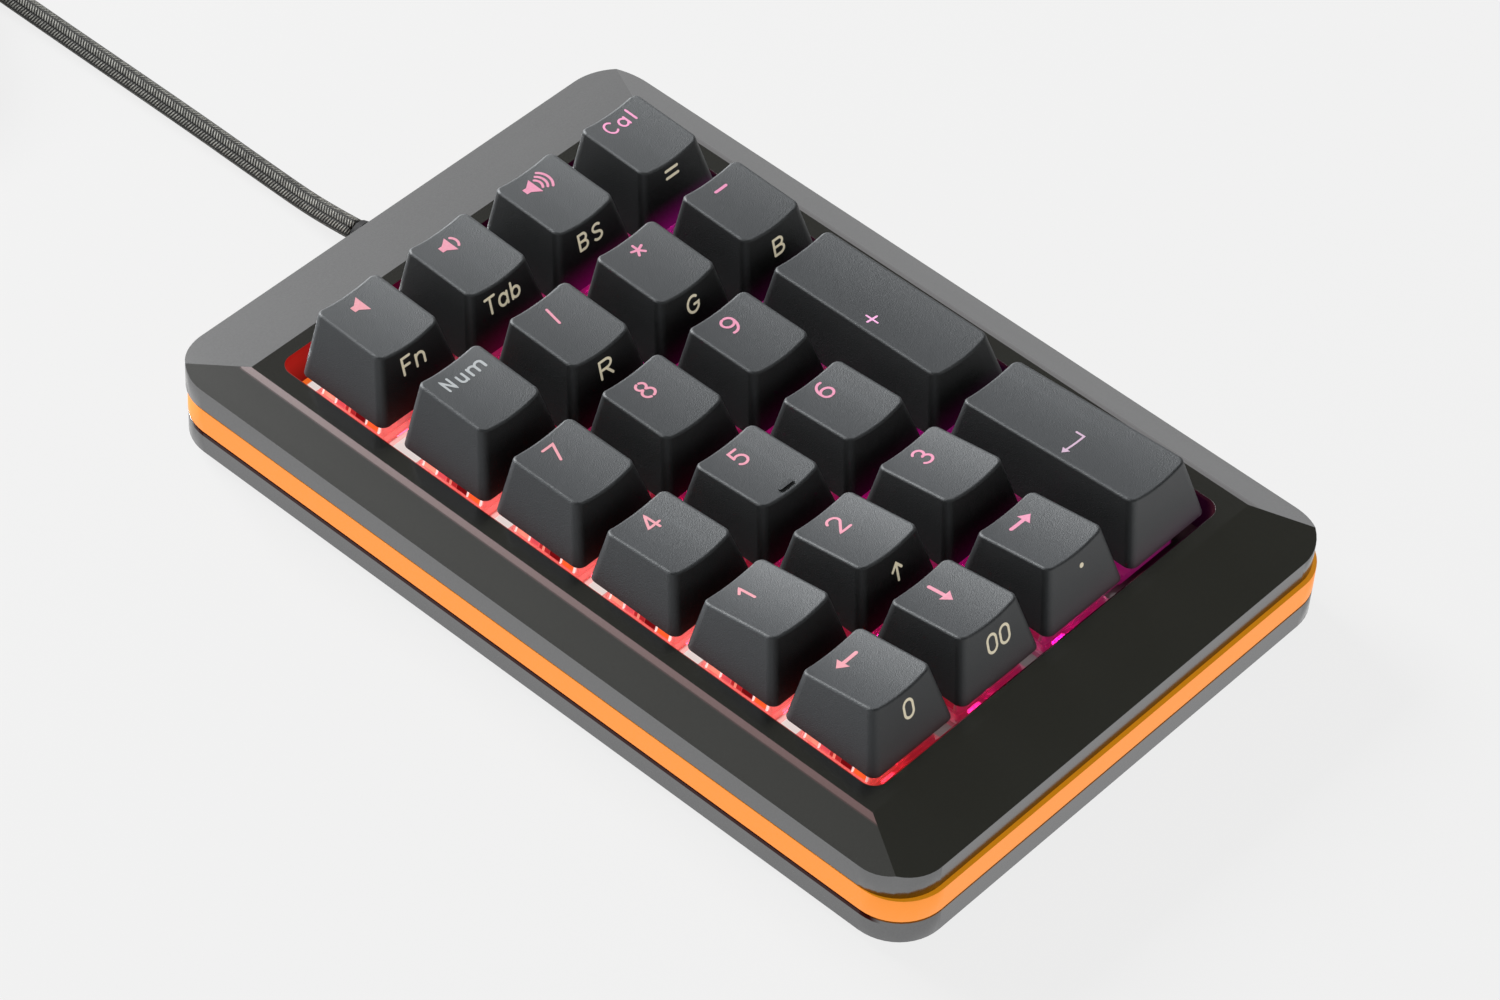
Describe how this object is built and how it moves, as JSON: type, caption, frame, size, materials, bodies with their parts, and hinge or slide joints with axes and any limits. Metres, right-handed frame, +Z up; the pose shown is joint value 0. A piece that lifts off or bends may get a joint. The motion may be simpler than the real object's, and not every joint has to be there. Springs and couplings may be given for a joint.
{
  "type": "numeric keypad",
  "caption": "Wired numeric keypad: sprung backlit keys in a low layered metal case, used to type figures and set the sound volume.",
  "frame": {"origin": "centre of the keypad's footprint, on the surface its rubber feet stand on; the cable and its plugs are not counted", "axes": "+X to the right of the person using it, +Y away from that person (the cable leaves this way), +Z up"},
  "size_m": [0.1042, 0.2954, 0.028],
  "materials": {
    "case_metal": "matt anodised, fine grain",
    "orange_metal": "matt anodised orange",
    "keycap_plastic": "fine-grained moulded plastic",
    "stem_plastic": "smooth moulded plastic",
    "clear_plastic": "clear moulded plastic",
    "spring_steel": "drawn wire",
    "wire_steel": "drawn wire",
    "stabilizer_plastic": "smooth moulded plastic",
    "plate_metal": "satin white paint",
    "board": "solder mask",
    "screw_steel": "blackened",
    "foot_rubber": "matt",
    "cable_braid": "woven braid, dark with pale flecks",
    "plug_plastic": "moulded grip with a steel shell"
  },
  "bodies": {
    "case": {"top_case": "case_metal", "light_frame": "orange_metal", "bottom_case": "case_metal", "case_screws": "screw_steel", "rubber_feet": "foot_rubber", "switch_plate": "plate_metal", "switch_housings": "clear_plastic", "switch_springs": "spring_steel", "stabilizer_housings": "stabilizer_plastic", "circuit_board": "board", "usb_cable_plug": "plug_plastic", "usb_cable": "cable_braid", "usb_cable_coil": "cable_braid", "usb_host_plug": "plug_plastic"},
    "key_mute": {"keycap_mute": "keycap_plastic", "stem_mute": "stem_plastic"},
    "key_volume_down": {"keycap_volume_down": "keycap_plastic", "stem_volume_down": "stem_plastic"},
    "key_volume_up": {"keycap_volume_up": "keycap_plastic", "stem_volume_up": "stem_plastic"},
    "key_calculator": {"keycap_calculator": "keycap_plastic", "stem_calculator": "stem_plastic"},
    "key_num_lock": {"keycap_num_lock": "keycap_plastic", "stem_num_lock": "stem_plastic"},
    "key_divide": {"keycap_divide": "keycap_plastic", "stem_divide": "stem_plastic"},
    "key_multiply": {"keycap_multiply": "keycap_plastic", "stem_multiply": "stem_plastic"},
    "key_minus": {"keycap_minus": "keycap_plastic", "stem_minus": "stem_plastic"},
    "key_7": {"keycap_7": "keycap_plastic", "stem_7": "stem_plastic"},
    "key_8": {"keycap_8": "keycap_plastic", "stem_8": "stem_plastic"},
    "key_9": {"keycap_9": "keycap_plastic", "stem_9": "stem_plastic"},
    "key_plus": {"keycap_plus": "keycap_plastic", "stem_plus": "stem_plastic"},
    "key_4": {"keycap_4": "keycap_plastic", "stem_4": "stem_plastic"},
    "key_5": {"keycap_5": "keycap_plastic", "stem_5": "stem_plastic"},
    "key_6": {"keycap_6": "keycap_plastic", "stem_6": "stem_plastic"},
    "key_1": {"keycap_1": "keycap_plastic", "stem_1": "stem_plastic"},
    "key_2": {"keycap_2": "keycap_plastic", "stem_2": "stem_plastic"},
    "key_3": {"keycap_3": "keycap_plastic", "stem_3": "stem_plastic"},
    "key_enter": {"keycap_enter": "keycap_plastic", "stem_enter": "stem_plastic"},
    "key_0": {"keycap_0": "keycap_plastic", "stem_0": "stem_plastic"},
    "key_00": {"keycap_00": "keycap_plastic", "stem_00": "stem_plastic"},
    "key_point": {"keycap_point": "keycap_plastic", "stem_point": "stem_plastic"},
    "wire_plus": {"stabilizer_wire_plus": "wire_steel"},
    "wire_enter": {"stabilizer_wire_enter": "wire_steel"}
  },
  "joints": [
    {"name": "press_mute", "type": "slide", "parent": "case", "child": "key_mute", "axis": [0, 0, -1], "range_m": [0, 0.004], "stiffness_N_per_m": 50, "springref_m": -0.008, "deforming": ["switch_springs"]},
    {"name": "press_volume_down", "type": "slide", "parent": "case", "child": "key_volume_down", "axis": [0, 0, -1], "range_m": [0, 0.004], "stiffness_N_per_m": 50, "springref_m": -0.008, "deforming": ["switch_springs"]},
    {"name": "press_volume_up", "type": "slide", "parent": "case", "child": "key_volume_up", "axis": [0, 0, -1], "range_m": [0, 0.004], "stiffness_N_per_m": 50, "springref_m": -0.008, "deforming": ["switch_springs"]},
    {"name": "press_calculator", "type": "slide", "parent": "case", "child": "key_calculator", "axis": [0, 0, -1], "range_m": [0, 0.004], "stiffness_N_per_m": 50, "springref_m": -0.008, "deforming": ["switch_springs"]},
    {"name": "press_num_lock", "type": "slide", "parent": "case", "child": "key_num_lock", "axis": [0, 0, -1], "range_m": [0, 0.004], "stiffness_N_per_m": 50, "springref_m": -0.008, "deforming": ["switch_springs"]},
    {"name": "press_divide", "type": "slide", "parent": "case", "child": "key_divide", "axis": [0, 0, -1], "range_m": [0, 0.004], "stiffness_N_per_m": 50, "springref_m": -0.008, "deforming": ["switch_springs"]},
    {"name": "press_multiply", "type": "slide", "parent": "case", "child": "key_multiply", "axis": [0, 0, -1], "range_m": [0, 0.004], "stiffness_N_per_m": 50, "springref_m": -0.008, "deforming": ["switch_springs"]},
    {"name": "press_minus", "type": "slide", "parent": "case", "child": "key_minus", "axis": [0, 0, -1], "range_m": [0, 0.004], "stiffness_N_per_m": 50, "springref_m": -0.008, "deforming": ["switch_springs"]},
    {"name": "press_7", "type": "slide", "parent": "case", "child": "key_7", "axis": [0, 0, -1], "range_m": [0, 0.004], "stiffness_N_per_m": 50, "springref_m": -0.008, "deforming": ["switch_springs"]},
    {"name": "press_8", "type": "slide", "parent": "case", "child": "key_8", "axis": [0, 0, -1], "range_m": [0, 0.004], "stiffness_N_per_m": 50, "springref_m": -0.008, "deforming": ["switch_springs"]},
    {"name": "press_9", "type": "slide", "parent": "case", "child": "key_9", "axis": [0, 0, -1], "range_m": [0, 0.004], "stiffness_N_per_m": 50, "springref_m": -0.008, "deforming": ["switch_springs"]},
    {"name": "press_plus", "type": "slide", "parent": "case", "child": "key_plus", "axis": [0, 0, -1], "range_m": [0, 0.004], "stiffness_N_per_m": 50, "springref_m": -0.008, "deforming": ["switch_springs"]},
    {"name": "press_4", "type": "slide", "parent": "case", "child": "key_4", "axis": [0, 0, -1], "range_m": [0, 0.004], "stiffness_N_per_m": 50, "springref_m": -0.008, "deforming": ["switch_springs"]},
    {"name": "press_5", "type": "slide", "parent": "case", "child": "key_5", "axis": [0, 0, -1], "range_m": [0, 0.004], "stiffness_N_per_m": 50, "springref_m": -0.008, "deforming": ["switch_springs"]},
    {"name": "press_6", "type": "slide", "parent": "case", "child": "key_6", "axis": [0, 0, -1], "range_m": [0, 0.004], "stiffness_N_per_m": 50, "springref_m": -0.008, "deforming": ["switch_springs"]},
    {"name": "press_1", "type": "slide", "parent": "case", "child": "key_1", "axis": [0, 0, -1], "range_m": [0, 0.004], "stiffness_N_per_m": 50, "springref_m": -0.008, "deforming": ["switch_springs"]},
    {"name": "press_2", "type": "slide", "parent": "case", "child": "key_2", "axis": [0, 0, -1], "range_m": [0, 0.004], "stiffness_N_per_m": 50, "springref_m": -0.008, "deforming": ["switch_springs"]},
    {"name": "press_3", "type": "slide", "parent": "case", "child": "key_3", "axis": [0, 0, -1], "range_m": [0, 0.004], "stiffness_N_per_m": 50, "springref_m": -0.008, "deforming": ["switch_springs"]},
    {"name": "press_enter", "type": "slide", "parent": "case", "child": "key_enter", "axis": [0, 0, -1], "range_m": [0, 0.004], "stiffness_N_per_m": 50, "springref_m": -0.008, "deforming": ["switch_springs"]},
    {"name": "press_0", "type": "slide", "parent": "case", "child": "key_0", "axis": [0, 0, -1], "range_m": [0, 0.004], "stiffness_N_per_m": 50, "springref_m": -0.008, "deforming": ["switch_springs"]},
    {"name": "press_00", "type": "slide", "parent": "case", "child": "key_00", "axis": [0, 0, -1], "range_m": [0, 0.004], "stiffness_N_per_m": 50, "springref_m": -0.008, "deforming": ["switch_springs"]},
    {"name": "press_point", "type": "slide", "parent": "case", "child": "key_point", "axis": [0, 0, -1], "range_m": [0, 0.004], "stiffness_N_per_m": 50, "springref_m": -0.008, "deforming": ["switch_springs"]},
    {"name": "turn_wire_plus", "type": "hinge", "parent": "case", "child": "wire_plus", "pos_m": [0.01905, -0.00137, 0.0118], "axis": [0, 1, 0], "range_deg": [0, 28.3]},
    {"name": "turn_wire_enter", "type": "hinge", "parent": "case", "child": "wire_enter", "pos_m": [0.01905, -0.03947, 0.0118], "axis": [0, 1, 0], "range_deg": [0, 28.3]}
  ],
  "couplings": [
    {"joint": "turn_wire_plus", "follows": "press_plus", "rad_per_m": 123.2},
    {"joint": "turn_wire_enter", "follows": "press_enter", "rad_per_m": 123.2}
  ]
}
